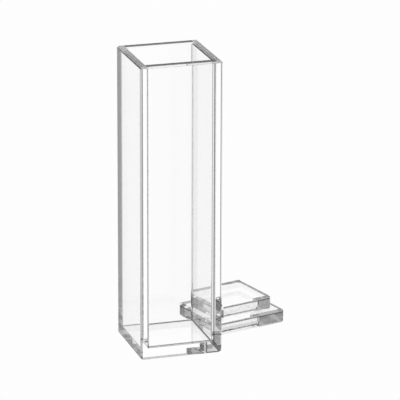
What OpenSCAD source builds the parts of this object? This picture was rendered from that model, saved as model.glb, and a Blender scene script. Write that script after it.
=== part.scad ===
// Square measuring cell for liquids, with its loose lid lying beside it.
// The cell stands on its foot, centred on the origin, with its front towards -Y.

/* [Cell] */
// Inside width of the sample space, the light path from left to right
path_w = 10; // [8:0.5:20]
// Inside depth of the sample space, the light path from front to back
path_d = 10; // [8:0.5:20]
// Height of the cell from its foot to its rim
cell_h = 45; // [20:0.5:60]
// Thickness of the four walls
wall_t = 1.25; // [1:0.05:2]
// Thickness of the base under the sample space
base_t = 1.5; // [1:0.05:3]

/* [Ground edges] */
// Bevel on the upright outside edges
upright_bevel = 0.25; // [0.1:0.05:0.4]
// Bevel round the rim, on its outside and its inside
rim_bevel = 0.3; // [0.1:0.05:0.4]
// Bevel round the foot
foot_bevel = 0.35; // [0.1:0.05:0.6]

/* [Fused corners] */
// Fillet where two walls meet inside
corner_r = 0.25; // [0.1:0.05:1]
// Fillet where the walls meet the floor inside
floor_r = 0.2; // [0.1:0.05:1]

/* [Lid] */
// Thickness of the lid's plate
plate_t = 2.2; // [1:0.1:3]
// How far the plate's sides stay inside the sides of the cell
plate_inset = 0.3; // [0:0.05:1]
// Height of the plug that enters the mouth of the cell
plug_h = 2; // [1:0.1:4]
// Clearance between the plug and each wall
plug_gap = 0.5; // [0.05:0.05:1]
// Bevel on the edges of the lid
lid_bevel = 0.35; // [0.1:0.05:0.4]

/* [Place of the lid] */
// Turn of the lid beside the cell, in degrees
lid_turn = 15; // [5:1:40]
// Gap between the lid and the cell's back right edge
lid_gap = 0.1; // [0.1:0.05:5]
// How far the lid's middle lies behind that edge
lid_slide = 0.1; // [-4:0.1:4]

/* [Hidden] */
$fn = 48;

cell_w = path_w + 2 * wall_t;
cell_d = path_d + 2 * wall_t;
plate_w = cell_w - 2 * plate_inset;
plate_d = cell_d - 2 * plate_inset;
plug_w = path_w - 2 * plug_gap;
plug_d = path_d - 2 * plug_gap;
past_rim = 1;

// A rectangle about the origin with its corners cut at 45 degrees.
module cut_rectangle(w, d, cut) {
    intersection() {
        square([w, d], center = true);
        rotate(45) square((w + d) / sqrt(2) - cut * sqrt(2), center = true);
    }
}

// A rectangle about the origin with rounded corners.
module round_rectangle(w, d, r) {
    square([w - 2 * r, d], center = true);
    square([w, d - 2 * r], center = true);
    for (x = [r - w / 2, w / 2 - r], y = [r - d / 2, d / 2 - r]) {
        translate([x, y]) circle(r);
    }
}

// The end view of a block on the X axis, bevelled at its foot and at its top.
module end_view(w, h, low, high) {
    polygon([
        [low - w / 2, 0], [w / 2 - low, 0],
        [w / 2, low], [w / 2, h - high],
        [w / 2 - high, h], [high - w / 2, h],
        [-w / 2, h - high], [-w / 2, low]
    ]);
}

// What two end views share, one seen along Y and one seen along X.
module from_two_sides(w, d) {
    intersection() {
        rotate([90, 0, 0]) linear_extrude(d, center = true) children(0);
        rotate([90, 0, 90]) linear_extrude(w, center = true) children(1);
    }
}

// A block with every edge bevelled: upright edges, foot edges and top edges.
module bevelled_block(w, d, h, upright, low, high) {
    intersection() {
        linear_extrude(h) cut_rectangle(w, d, upright);
        from_two_sides(w, d) {
            end_view(w, h, low, high);
            end_view(d, h, low, high);
        }
    }
}

// The end view of the sample space, round where it meets the floor.
module space_view(w, h) {
    translate([0, h / 2]) round_rectangle(w, h, floor_r);
}

// The hollow inside the walls, filleted along its uprights and round its floor.
module sample_space() {
    tall = cell_h - base_t + past_rim;
    translate([0, 0, base_t]) intersection() {
        linear_extrude(tall - floor_r) round_rectangle(path_w, path_d, corner_r);
        from_two_sides(path_w, path_d) {
            space_view(path_w, tall);
            space_view(path_d, tall);
        }
    }
}

// The end view of the flare that bevels the inside of the rim.
module flare_view(w) {
    reach = w / 2 + rim_bevel;
    polygon([
        [-w / 2, -rim_bevel], [w / 2, -rim_bevel],
        [reach, 0], [reach, past_rim],
        [-reach, past_rim], [-reach, 0]
    ]);
}

// The mouth of the cell, wider at the rim than below it.
module mouth_flare() {
    translate([0, 0, cell_h]) from_two_sides(path_w + 2 * rim_bevel, path_d + 2 * rim_bevel) {
        flare_view(path_w);
        flare_view(path_d);
    }
}

// Four walls and a base fused into one clear vessel, open at the top.
module cell() {
    color("azure", 0.35) difference() {
        bevelled_block(cell_w, cell_d, cell_h, upright_bevel, foot_bevel, rim_bevel);
        sample_space();
        mouth_flare();
    }
}

// The lid at its own centre, lying on its plate with its plug upwards.
module lid_upturned() {
    bevelled_block(plate_w, plate_d, plate_t, lid_bevel, lid_bevel, lid_bevel);
    translate([0, 0, plate_t - lid_bevel])
        bevelled_block(plug_w, plug_d, plug_h + lid_bevel, lid_bevel, lid_bevel, lid_bevel);
}

// The lid taken off and laid down, one side close to the cell's back right edge.
module lid() {
    color("azure", 0.35)
        translate([cell_w / 2, cell_d / 2 - upright_bevel, 0])
        rotate(lid_turn)
        translate([plate_w / 2 + lid_gap, lid_slide, 0])
        lid_upturned();
}

cell();
lid();
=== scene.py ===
import math

import bpy
from mathutils import Matrix, Vector


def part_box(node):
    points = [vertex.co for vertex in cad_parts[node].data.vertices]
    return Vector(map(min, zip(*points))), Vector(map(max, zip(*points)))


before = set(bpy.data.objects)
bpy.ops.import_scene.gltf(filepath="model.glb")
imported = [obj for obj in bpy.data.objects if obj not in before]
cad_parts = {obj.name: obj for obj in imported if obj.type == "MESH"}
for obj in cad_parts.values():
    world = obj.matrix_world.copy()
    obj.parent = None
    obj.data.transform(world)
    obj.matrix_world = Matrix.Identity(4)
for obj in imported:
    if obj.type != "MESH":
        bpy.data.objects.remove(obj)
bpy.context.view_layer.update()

scene = bpy.context.scene
mm = 0.001
white = (1, 1, 1, 1)
black = (0, 0, 0, 1)


# Camera

cameraSet = {
    "azimuth": 17.336,        # degrees left of the front
    "elevation": 17.905,      # degrees above the floor
    "roll": 0.185,
    "distance": 482.24 * mm,
    "aside": 4.515 * mm,      # the aim lies this far right of the cell's middle
    "lens": 293.53,
    "sensor": 36.0,
    "near": 10 * mm,
    "far": 20.0,
}


def makeCamera(settings):
    azimuth = math.radians(settings["azimuth"])
    elevation = math.radians(settings["elevation"])
    roll = math.radians(settings["roll"])
    low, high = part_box("cell")
    aim = (low + high) / 2
    back = Vector((
        -math.sin(azimuth) * math.cos(elevation),
        -math.cos(azimuth) * math.cos(elevation),
        math.sin(elevation),
    ))
    right = Vector((math.cos(azimuth), -math.sin(azimuth), 0))
    up = back.cross(right)
    place = aim + back * settings["distance"] + right * settings["aside"]
    rolledRight = right * math.cos(roll) + up * math.sin(roll)
    rolledUp = up * math.cos(roll) - right * math.sin(roll)
    data = bpy.data.cameras.new("camera")
    data.sensor_width = settings["sensor"]
    data.lens = settings["lens"]
    data.clip_start = settings["near"]
    data.clip_end = settings["far"]
    camera = bpy.data.objects.new("camera", data)
    scene.collection.objects.link(camera)
    turned = Matrix((rolledRight, rolledUp, back)).transposed().to_4x4()
    camera.matrix_world = Matrix.Translation(place) @ turned
    scene.camera = camera


makeCamera(cameraSet)
print("camera placed")


# Nodes

def addNode(tree, kind, **values):
    node = tree.nodes.new(kind)
    for name, value in values.items():
        setattr(node, name, value)
    return node


def feed(tree, node, key, value):    # links an input, or sets it to a plain value
    socket = node.inputs[key]
    if isinstance(value, bpy.types.NodeSocket):
        tree.links.new(value, socket)
    else:
        socket.default_value = value


def calc(tree, operation, *values):
    node = addNode(tree, "ShaderNodeMath", operation=operation)
    for place, value in enumerate(values):
        feed(tree, node, place, value)
    return node.outputs[0]


def vectorCalc(tree, operation, *values):
    node = addNode(tree, "ShaderNodeVectorMath", operation=operation)
    for place, value in enumerate(values):
        feed(tree, node, place, value)
    return node.outputs[0]


def rise(tree, value, low, high, start=0.0, end=1.0):    # from start to end as value goes low to high
    node = addNode(tree, "ShaderNodeMapRange", interpolation_type="SMOOTHSTEP")
    feed(tree, node, "Value", value)
    feed(tree, node, "From Min", low)
    feed(tree, node, "From Max", high)
    feed(tree, node, "To Min", start)
    feed(tree, node, "To Max", end)
    return node.outputs[0]


def split(tree, vector):
    node = addNode(tree, "ShaderNodeSeparateXYZ")
    feed(tree, node, 0, vector)
    return node.outputs


def mix(tree, share, first, second):
    node = addNode(tree, "ShaderNodeMix", data_type="FLOAT")
    feed(tree, node, "Factor", share)
    feed(tree, node, "A", first)
    feed(tree, node, "B", second)
    return node.outputs[0]


# Studio
# What is seen straight is an even white. Reflected light sees dark sides with a few panels, which
# give clear glass its grey ends. The panels depend on how often the light was reflected.

studioSet = {
    "white": 0.985,          # what is seen straight, behind and below
    "horizon": 0.75,         # reflected light sees this at the floor's far edge,
    "low": 0.5,              # this a little above it,
    "sides": 0.17,           # this between the panels
    "roof": 0.5,             # and this overhead
    "horizonEnd": 1.5,       # heights in degrees
    "lowEnd": 4.0,
    "sidesStart": 12.0,
    "roofStart": 20.0,
    "roofEnd": 30.0,
    "mirrored": 1.18,        # number of reflections after which the floor is a plain mirror
    # panels by number of reflections: headings in degrees from straight behind towards the right
    "once": [
        {"heading": 25.0, "half": 8.0, "fade": 24.0, "light": 1.05},
        {"heading": 313.0, "half": 8.0, "fade": 16.0, "light": 0.4},
        {"heading": 350.0, "half": 4.0, "fade": 7.0, "light": 0.55},
    ],
    "twice": [
        {"heading": -3.0, "half": 16.0, "fade": 44.0, "light": 0.83},
        {"heading": 177.0, "half": 16.0, "fade": 44.0, "light": 0.83},
        {"heading": 309.0, "half": 8.0, "fade": 16.0, "light": 0.32},
    ],
    "more": [
        {"heading": 25.0, "half": 8.0, "fade": 24.0, "light": 1.05},
        {"heading": 132.0, "half": 4.0, "fade": 10.0, "light": 0.45},
        {"heading": 197.0, "half": 4.0, "fade": 10.0, "light": 0.4},
        {"heading": 313.0, "half": 8.0, "fade": 16.0, "light": 0.4},
    ],
    "twiceFrom": 1.5,        # numbers of reflections
    "moreFrom": 2.5,
    "leastLevel": 0.001,     # keeps headings defined straight up and down
}


def reflections(tree):
    return addNode(tree, "ShaderNodeLightPath").outputs["Glossy Depth"]


def offHeading(tree, along, across, heading):    # degrees between a level direction and a heading
    turn = math.radians(heading)
    acrossPart = calc(tree, "MULTIPLY", across, math.sin(turn))
    alongPart = calc(tree, "MULTIPLY", along, math.cos(turn))
    ahead = calc(tree, "ADD", acrossPart, alongPart)
    ahead = calc(tree, "MINIMUM", calc(tree, "MAXIMUM", ahead, -1.0), 1.0)
    return calc(tree, "DEGREES", calc(tree, "ARCCOSINE", ahead))


def panelLight(tree, along, across, base, panels):
    light = base
    for panel in panels:
        off = offHeading(tree, along, across, panel["heading"])
        share = rise(tree, off, panel["half"], panel["fade"], 1.0, 0.0)
        light = mix(tree, share, light, panel["light"])
    return light


def makeWorld(settings):
    world = bpy.data.worlds.new("studio")
    scene.world = world
    world.use_nodes = True
    tree = world.node_tree
    tree.nodes.clear()
    coords = addNode(tree, "ShaderNodeTexCoord")
    parts = split(tree, coords.outputs["Generated"])
    upSquared = calc(tree, "MULTIPLY", parts["Z"], parts["Z"])
    level = calc(tree, "SQRT", calc(tree, "SUBTRACT", 1.0, upSquared))
    level = calc(tree, "MAXIMUM", level, settings["leastLevel"])
    along = calc(tree, "DIVIDE", parts["Y"], level)
    across = calc(tree, "DIVIDE", parts["X"], level)
    height = calc(tree, "DEGREES", calc(tree, "ARCSINE", parts["Z"]))
    low = rise(tree, height, 0.0, settings["horizonEnd"], settings["horizon"], settings["low"])
    sides = rise(tree, height, settings["lowEnd"], settings["sidesStart"], low, settings["sides"])
    once = panelLight(tree, along, across, sides, settings["once"])
    twice = panelLight(tree, along, across, sides, settings["twice"])
    more = panelLight(tree, along, across, sides, settings["more"])
    count = reflections(tree)
    light = mix(tree, calc(tree, "GREATER_THAN", count, settings["twiceFrom"]), once, twice)
    light = mix(tree, calc(tree, "GREATER_THAN", count, settings["moreFrom"]), light, more)
    overhead = rise(tree, height, settings["roofStart"], settings["roofEnd"])
    light = mix(tree, overhead, light, settings["roof"])
    reflected = calc(tree, "MINIMUM", count, 1.0)
    sky = addNode(tree, "ShaderNodeBackground")
    feed(tree, sky, "Color", white)
    feed(tree, sky, "Strength", mix(tree, reflected, settings["white"], light))
    out = addNode(tree, "ShaderNodeOutputWorld")
    feed(tree, out, "Surface", sky.outputs[0])


floorSet = {
    "size": 4.0,
    "drop": 0.02 * mm,    # air under the foot
}


def makeFloor(settings):    # white to the eye, a mirror for reflected light
    bpy.ops.mesh.primitive_plane_add(size=settings["size"], location=(0, 0, -settings["drop"]))
    floor = bpy.context.object
    floor.name = "floor"
    material = bpy.data.materials.new("floor")
    material.use_nodes = True
    tree = material.node_tree
    tree.nodes.clear()
    glow = addNode(tree, "ShaderNodeEmission")
    feed(tree, glow, "Strength", studioSet["white"])
    sheen = addNode(tree, "ShaderNodeBsdfGlossy")
    feed(tree, sheen, "Roughness", 0.0)
    feed(tree, sheen, "Color", white)
    share = calc(tree, "DIVIDE", reflections(tree), studioSet["mirrored"])
    both = addNode(tree, "ShaderNodeMixShader")
    feed(tree, both, 0, calc(tree, "MINIMUM", share, 1.0))
    feed(tree, both, 1, glow.outputs[0])
    feed(tree, both, 2, sheen.outputs[0])
    out = addNode(tree, "ShaderNodeOutputMaterial")
    feed(tree, out, "Surface", both.outputs[0])
    floor.data.materials.append(material)


makeWorld(studioSet)
makeFloor(floorSet)
print("studio lit")


# Glass
# Clear glass looks darker at its ground rims, its bevels and fillets, and along its edges. Here that
# grey is painted shade in the base colour. Each such place is a zone: a box in the piece's own axes,
# for the faces that look one way.
# What lies in it is darkened with painted shade, or roughened.

glassSet = {
    "ior": 1.458,
    "mottle": 0.25,                 # how uneven a place of painted shade is
    "mottleScale": 2.5,             # per millimetre
    "mottleDetail": 3.0,
    "mottleSpan": (0.35, 0.65),
    "bevelSpan": (0.985, 0.9),      # largest part of a normal, from square faces to bevels
    "faceSpan": (0.9, 0.99),        # part of a normal along an axis, from aslant to square
    "slantSpan": (0.3, 0.5),        # the same for a bevel that leans that way
}


def makeBevelMask(settings):    # 1 on bevels and fillets, 0 on faces square to the piece's own axes
    tree = bpy.data.node_groups.new("bevelMask", "ShaderNodeTree")
    tree.interface.new_socket("Normal", in_out="INPUT", socket_type="NodeSocketVector")
    tree.interface.new_socket("Mask", in_out="OUTPUT", socket_type="NodeSocketFloat")
    start = addNode(tree, "NodeGroupInput")
    end = addNode(tree, "NodeGroupOutput")
    parts = split(tree, vectorCalc(tree, "ABSOLUTE", start.outputs["Normal"]))
    most = calc(tree, "MAXIMUM", calc(tree, "MAXIMUM", parts["X"], parts["Y"]), parts["Z"])
    feed(tree, end, "Mask", rise(tree, most, *settings["bevelSpan"]))
    return tree


zoneSockets = {
    "Tint": "NodeSocketFloat",
    "Spot": "NodeSocketVector",
    "Low": "NodeSocketVector",
    "High": "NodeSocketVector",
    "Fade": "NodeSocketFloat",
    "Facing": "NodeSocketFloat",
    "Tone": "NodeSocketFloat",
}


def makeBoxZone():    # multiplies the tint by the tone inside a box: painted shade in the base colour, or roughness
    tree = bpy.data.node_groups.new("boxZone", "ShaderNodeTree")
    for name, kind in zoneSockets.items():
        tree.interface.new_socket(name, in_out="INPUT", socket_type=kind)
    tree.interface.new_socket("Tint", in_out="OUTPUT", socket_type="NodeSocketFloat")
    start = addNode(tree, "NodeGroupInput")
    end = addNode(tree, "NodeGroupOutput")
    spot = start.outputs["Spot"]
    above = split(tree, vectorCalc(tree, "SUBTRACT", spot, start.outputs["Low"]))
    below = split(tree, vectorCalc(tree, "SUBTRACT", start.outputs["High"], spot))
    depth = above["X"]    # from the nearest side of the box
    for part in (above["Y"], above["Z"], below["X"], below["Y"], below["Z"]):
        depth = calc(tree, "MINIMUM", depth, part)
    halfFade = calc(tree, "MULTIPLY", start.outputs["Fade"], 0.5)
    inside = rise(tree, depth, calc(tree, "MULTIPLY", halfFade, -1.0), halfFade)
    mask = calc(tree, "MULTIPLY", inside, start.outputs["Facing"])
    tone = mix(tree, mask, 1.0, start.outputs["Tone"])
    feed(tree, end, "Tint", calc(tree, "MULTIPLY", start.outputs["Tint"], tone))
    return tree


bevelMask = makeBevelMask(glassSet)
boxZone = makeBoxZone()


def facingMasks(tree, normal):    # 1 where a surface looks that way
    parts = split(tree, normal)
    bevel = addNode(tree, "ShaderNodeGroup", node_tree=bevelMask)
    feed(tree, bevel, "Normal", normal)
    slanted = bevel.outputs["Mask"]
    away = rise(tree, calc(tree, "MAXIMUM", parts["X"], parts["Y"]), *glassSet["slantSpan"])
    across = rise(tree, calc(tree, "ABSOLUTE", parts["X"]), *glassSet["slantSpan"])
    aslant, square = glassSet["faceSpan"]
    return {
        "any": 1.0,
        "bevel": slanted,
        "bevelAway": calc(tree, "MULTIPLY", slanted, away),        # towards the back or the right
        "bevelAcross": calc(tree, "MULTIPLY", slanted, across),    # towards the left or the right
        "up": rise(tree, parts["Z"], aslant, square),
        "left": rise(tree, parts["X"], -aslant, -square),
        "right": rise(tree, parts["X"], aslant, square),
        "front": rise(tree, parts["Y"], -aslant, -square),
    }


def placeZone(tree, zone, spot, masks, tint, tone):
    node = addNode(tree, "ShaderNodeGroup", node_tree=boxZone)
    feed(tree, node, "Tint", tint)
    feed(tree, node, "Spot", spot)
    feed(tree, node, "Low", zone["low"])
    feed(tree, node, "High", zone["high"])
    feed(tree, node, "Fade", zone["fade"])
    feed(tree, node, "Facing", masks[zone["on"]])
    feed(tree, node, "Tone", tone)
    return node.outputs["Tint"]


def makeGlass(name, settings, paintedShadeZones, roughZones):
    material = bpy.data.materials.new(name)
    material.use_nodes = True
    tree = material.node_tree
    shader = tree.nodes["Principled BSDF"]
    out = tree.nodes["Material Output"]
    feed(tree, shader, "Transmission Weight", 1.0)
    feed(tree, shader, "IOR", glassSet["ior"])

    # place and normal in the piece's own axes
    coords = addNode(tree, "ShaderNodeTexCoord")
    spotMap = addNode(tree, "ShaderNodeMapping", vector_type="TEXTURE")
    feed(tree, spotMap, "Vector", coords.outputs["Object"])
    feed(tree, spotMap, "Location", settings["centre"])
    feed(tree, spotMap, "Rotation", (0, 0, math.radians(settings["turn"])))
    feed(tree, spotMap, "Scale", (mm, mm, mm))
    spot = spotMap.outputs[0]
    geometry = addNode(tree, "ShaderNodeNewGeometry")
    normalMap = addNode(tree, "ShaderNodeMapping", vector_type="NORMAL")
    feed(tree, normalMap, "Vector", geometry.outputs["Normal"])
    feed(tree, normalMap, "Rotation", (0, 0, math.radians(-settings["turn"])))
    masks = facingMasks(tree, normalMap.outputs[0])

    noise = addNode(tree, "ShaderNodeTexNoise")
    feed(tree, noise, "Vector", spot)
    feed(tree, noise, "Scale", glassSet["mottleScale"])
    feed(tree, noise, "Detail", glassSet["mottleDetail"])
    darkest = 1.0 - glassSet["mottle"]
    speckle = rise(tree, noise.outputs[0], *glassSet["mottleSpan"], darkest, 1.0)

    tint = 1.0
    for zone in paintedShadeZones:
        tone = calc(tree, "MULTIPLY", speckle, zone["tone"])
        tint = placeZone(tree, zone, spot, masks, tint, tone)
    # the base colour carries the painted shade of all the zones, made uneven by the mottle
    feed(tree, shader, "Base Color", tint)

    rough = 0.0
    for zone in roughZones:
        smooth = placeZone(tree, zone, spot, masks, 1.0, 1.0 - zone["tone"])
        rough = calc(tree, "MAXIMUM", rough, calc(tree, "SUBTRACT", 1.0, smooth))
    feed(tree, shader, "Roughness", rough)

    dim = addNode(tree, "ShaderNodeVolumeAbsorption")
    feed(tree, dim, "Color", black)
    feed(tree, dim, "Density", settings["dimming"])
    feed(tree, out, "Volume", dim.outputs[0])
    return material


def glaze(name, settings, paintedShadeZones, roughZones):
    glass = makeGlass(name + "Glass", settings, paintedShadeZones, roughZones)
    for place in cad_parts[name].material_slots:
        place.material = glass
    print(name, "glazed with", len(paintedShadeZones) + len(roughZones), "zones")


# From here to the end of the lid, sizes and places are in millimetres.

past = 0.05        # how far a zone reaches past the face that it lies on
edgeFade = 0.02    # width of the fade at a zone's sides, where nothing else is said


def makeZone(on, tone, x, y, z, fade=edgeFade):    # x, y and z are its spans
    low, high = zip(x, y, z)
    return {"on": on, "tone": tone, "low": low, "high": high, "fade": fade}


def around(place, reach=past):
    return (place - reach, place + reach)


def beside(place, span):
    return (place + span[0], place + span[1])


def heightOf(name):
    low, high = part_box(name)
    return round((high[2] - low[2]) / mm, 3)


def widthOf(name):
    low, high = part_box(name)
    return round((high[0] - low[0]) / mm, 3)


# Cell

cellSet = {
    "centre": (0, 0, 0),
    "turn": 0.0,
    "dimming": 1.0,               # per metre of path
    "wall": 1.25,
    "base": 1.5,
    "rimBevel": 0.3,
    "footBevel": 0.35,
    "cornerFillet": 0.25,
    "floorFillet": 0.2,
    "filletReach": 0.5,           # the fillets' zones reach this far in from the walls
    "rimDepth": 0.1,              # the ground rims reach this far down their bevels
    "rimOverlap": 0.2,            # and this far round the corners
    "rimRoughness": 0.5,
    "bevelLine": (-0.06, 0.12),   # from the lower edge of the rim's bevels
    "rimLine": (-0.08, 0.04),
    "floorLine": (0.0, 0.2),      # from the upper edge of the floor's fillet
    "footLine": (0.01, 0.15),     # from the upper edge of the foot's bevel
    "cornerShadeLine": (-0.12, 0.1),     # painted shade line on the front face, from the inside of the right wall
    "cornerShadeStart": 2.0,
    "lineFade": 0.04,
    "cornerShadeFade": 0.06,
    "faceFade": 0.1,
    # tones of the painted shade: the share of light that each place lets through
    "leftRimTone": 0.7,
    "rightRimTone": 0.8,
    "longRimTone": 0.07,
    "bevelLineTone": 0.12,
    "rimLineTone": 0.75,
    "filletTone": 0.4,
    "floorTone": 0.1,
    "footTone": 0.6,
    "footLineTone": 0.12,
    "leftBaseTone": 0.55,
    "rightBaseTone": 0.6,
    "cornerShadeTone": 0.12,
    # on the left wall, y from the back face: painted shade where the back wall's end and the base's end
    # show through
    "backWall": {"y": (-1.85, past), "tone": 0.75},
    "baseEnd": {"y": (-2.65, past), "z": (1.4, 3.6), "tone": 0.2},
    # on the front wall, x from the right face: painted shade where the grey end of the base shows
    # through
    "frontPatches": [
        {"x": (-2.4, -1.35), "z": (0.25, 0.8), "tone": 0.6},
        {"x": (-2.4, -1.35), "z": (0.8, 1.5), "tone": 0.22},
        {"x": (-1.35, -0.25), "z": (0.3, 1.35), "tone": 0.8},
        {"x": (-1.35, -0.25), "z": (1.35, 2.8), "tone": 0.2},
        {"x": (-1.1, -0.45), "z": (3.4, 5.45), "tone": 0.65},
    ],
}

# places that the cell's zones share, from its middle and its foot
half = widthOf("cell") / 2
top = heightOf("cell")
edge = half + past
inner = half - cellSet["wall"]
mouth = inner - cellSet["rimBevel"]              # where the zones of the rims end inside
bevelEdge = top - cellSet["rimBevel"]
floorEdge = cellSet["base"] + cellSet["floorFillet"]
across = (-edge, edge)
nearFace = around(-half)                         # the left face along X, the front face along Y
farFace = around(half)
rim = (top - cellSet["rimDepth"], top + past)


def roughRims(settings):
    rough = settings["rimRoughness"]
    bevelled = (bevelEdge - past, top + past)
    return [
        makeZone("any", rough, (-edge, -mouth), across, bevelled),
        makeZone("any", rough, (mouth, edge), across, bevelled),
        makeZone("any", rough, across, across, rim),
    ]


# painted shade on the rims and along the lower edge of the rims' bevels
def shadeRims(settings):
    corner = inner + settings["rimOverlap"]
    long = (-corner, corner)
    lineSpan = (-corner, inner - 2 * past)
    frontBevel = (-edge, settings["rimBevel"] + past - half)
    bevelLine = beside(bevelEdge, settings["bevelLine"])
    rimLine = beside(bevelEdge, settings["rimLine"])
    return [
        makeZone("any", settings["leftRimTone"], (-edge, past - inner), across, rim),
        makeZone("any", settings["rightRimTone"], (inner - past, edge), across, rim),
        makeZone("any", settings["longRimTone"], long, (-edge, -mouth), rim),
        makeZone("any", settings["longRimTone"], long, (mouth, edge), rim),
        makeZone("bevelAcross", settings["bevelLineTone"], across, across, bevelLine),
        makeZone("any", settings["rimLineTone"], lineSpan, frontBevel, rimLine),
    ]


def shadeFillets(settings):    # painted shade on the fillets: all but the right one at the front, which the painted corner line stands for
    whole = (-inner - past, inner + past)
    back = (inner - settings["filletReach"], inner + past)
    frontLeft = (-inner - past, settings["filletReach"] - inner)
    uprights = (settings["base"] - past, bevelEdge - 2 * past)
    floorFillets = (settings["base"] - past, floorEdge + past)
    floorLine = beside(floorEdge, settings["floorLine"])
    lineSpan = (-inner, inner - settings["cornerFillet"] - past)
    return [
        makeZone("bevel", settings["filletTone"], whole, back, uprights),
        makeZone("bevel", settings["filletTone"], frontLeft, frontLeft, uprights),
        makeZone("bevel", settings["floorTone"], whole, whole, floorFillets),
        makeZone("any", settings["floorTone"], lineSpan, around(-inner, 2 * past), floorLine),
    ]


# painted contact shadow on the foot's bevel and a line above it, and painted shade at the base's ends
# on the left and right
def shadeFoot(settings):
    foot = settings["footBevel"]
    lineSpan = (foot - half, half - foot)
    footLine = beside(foot, settings["footLine"])
    base = (0, settings["base"])
    end = settings["baseEnd"]
    fade = settings["faceFade"]
    return [
        makeZone("bevel", settings["footTone"], across, across, (-past, foot + past)),
        makeZone("left", settings["footLineTone"], nearFace, lineSpan, footLine, settings["lineFade"]),
        makeZone("left", end["tone"], nearFace, beside(half, end["y"]), end["z"], fade),
        makeZone("left", settings["leftBaseTone"], nearFace, across, base, fade),
        makeZone("right", settings["rightBaseTone"], farFace, across, base, fade),
    ]


# painted shade on the walls: the corner line, grey patches on the front wall, and the back wall's end
# on the left wall
def shadeWalls(settings):
    cornerShade = beside(inner, settings["cornerShadeLine"])
    cornerShadeHeight = (settings["cornerShadeStart"], bevelEdge)
    fade = settings["faceFade"]
    # a painted shade line on the front face, along the inside of the right wall, stands for that
    # corner's fillet
    zones = [makeZone("front", settings["cornerShadeTone"], cornerShade, nearFace, cornerShadeHeight, settings["cornerShadeFade"])]
    for patch in settings["frontPatches"]:
        span = beside(half, patch["x"])
        zones.append(makeZone("front", patch["tone"], span, nearFace, patch["z"], fade))
    wall = settings["backWall"]
    wallHeight = (settings["base"], top)
    zones.append(makeZone("left", wall["tone"], nearFace, beside(half, wall["y"]), wallHeight, fade))
    return zones


cellShadeZones = shadeRims(cellSet) + shadeFillets(cellSet) + shadeFoot(cellSet) + shadeWalls(cellSet)
glaze("cell", cellSet, cellShadeZones, roughRims(cellSet))


# Lid

lowLid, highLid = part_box("lid")

lidSet = {
    "centre": ((lowLid[0] + highLid[0]) / 2, (lowLid[1] + highLid[1]) / 2, 0),    # in metres
    "turn": 15.0,
    "dimming": 2.0,
    "plateHeight": 2.2,
    "bevel": 0.35,
    # tone of the painted shade on the bevels that face the back or the right
    "bevelTone": 0.4,
    "frontLine": (-0.17, 0.01),    # from the lower edge of a top bevel
    "leftLine": (-0.19, 0.03),
    "lineFade": 0.04,
    "outlineTone": 0.3,            # painted shade along the back and the right of the top faces
    "outlineFade": 0.05,
    "frontStop": 0.15,             # the painted shade on the front stops this far under a top bevel
    "faceFade": 0.1,
    "plug": {
        "width": 9.0,
        "frontLineTone": 0.08,
        "leftLineTone": 0.1,
        "frontTone": 0.93,
        "backOutline": 0.75,       # widths of the outline
        "rightOutline": 0.45,
        # painted shade on the left face, from a place along Y to the back, and from a height above the
        # step's foot
        "leftPatches": [
            {"from": -0.5, "above": 0.0, "tone": 0.25},
            {"from": -4.2, "above": 0.0, "tone": 0.7},
        ],
    },
    "plate": {
        "width": 11.9,
        "frontLineTone": 0.1,
        "leftLineTone": 0.15,
        "frontTone": 0.87,
        "backOutline": 0.4,
        "rightOutline": 0.4,
        "leftPatches": [
            {"from": -5.65, "above": 0.5, "tone": 0.8},
            {"from": 4.2, "above": 0.0, "tone": 0.3},
        ],
    },
}


def shadeStep(settings, step, low, high):    # painted shade on the plug or the plate, between two heights
    bevelStart = high - settings["bevel"]
    flat = step["width"] / 2 - settings["bevel"]
    end = flat + past
    whole = (-end, end)
    side = around(-step["width"] / 2)
    upper = around(high)
    back = (flat - step["backOutline"], end)
    right = (flat - step["rightOutline"], end)
    frontLine = beside(bevelStart, settings["frontLine"])
    leftLine = beside(bevelStart, settings["leftLine"])
    front = (low, bevelStart - settings["frontStop"])
    fade = settings["faceFade"]
    zones = [
        makeZone("front", step["frontLineTone"], whole, side, frontLine, settings["lineFade"]),
        makeZone("left", step["leftLineTone"], side, whole, leftLine, settings["lineFade"]),
        makeZone("up", settings["outlineTone"], whole, back, upper, settings["outlineFade"]),
        makeZone("up", settings["outlineTone"], right, whole, upper, settings["outlineFade"]),
        makeZone("front", step["frontTone"], whole, side, front, fade),
    ]
    for patch in step["leftPatches"]:
        height = (low + patch["above"], bevelStart + past)
        zones.append(makeZone("left", patch["tone"], side, (patch["from"], end), height, fade))
    return zones


def shadeBevels(settings):    # painted shade on the bevels that face the back or the right
    whole = around(0, settings["plate"]["width"] / 2 + past)
    return [makeZone("bevelAway", settings["bevelTone"], whole, whole, (-past, heightOf("lid") + past))]


plateFoot = lidSet["bevel"] - past
plateTop = lidSet["plateHeight"]
lidShadeZones = shadeBevels(lidSet)
lidShadeZones += shadeStep(lidSet, lidSet["plug"], plateTop, heightOf("lid"))
lidShadeZones += shadeStep(lidSet, lidSet["plate"], plateFoot, plateTop)
glaze("lid", lidSet, lidShadeZones, [])


# Picture

pictureSet = {
    "view": "Standard",
    "bounces": 64,    # clear glass needs many
}
scene.view_settings.view_transform = pictureSet["view"]
scene.cycles.max_bounces = pictureSet["bounces"]
scene.cycles.transmission_bounces = pictureSet["bounces"]
scene.cycles.glossy_bounces = pictureSet["bounces"]
scene.cycles.use_denoising = True
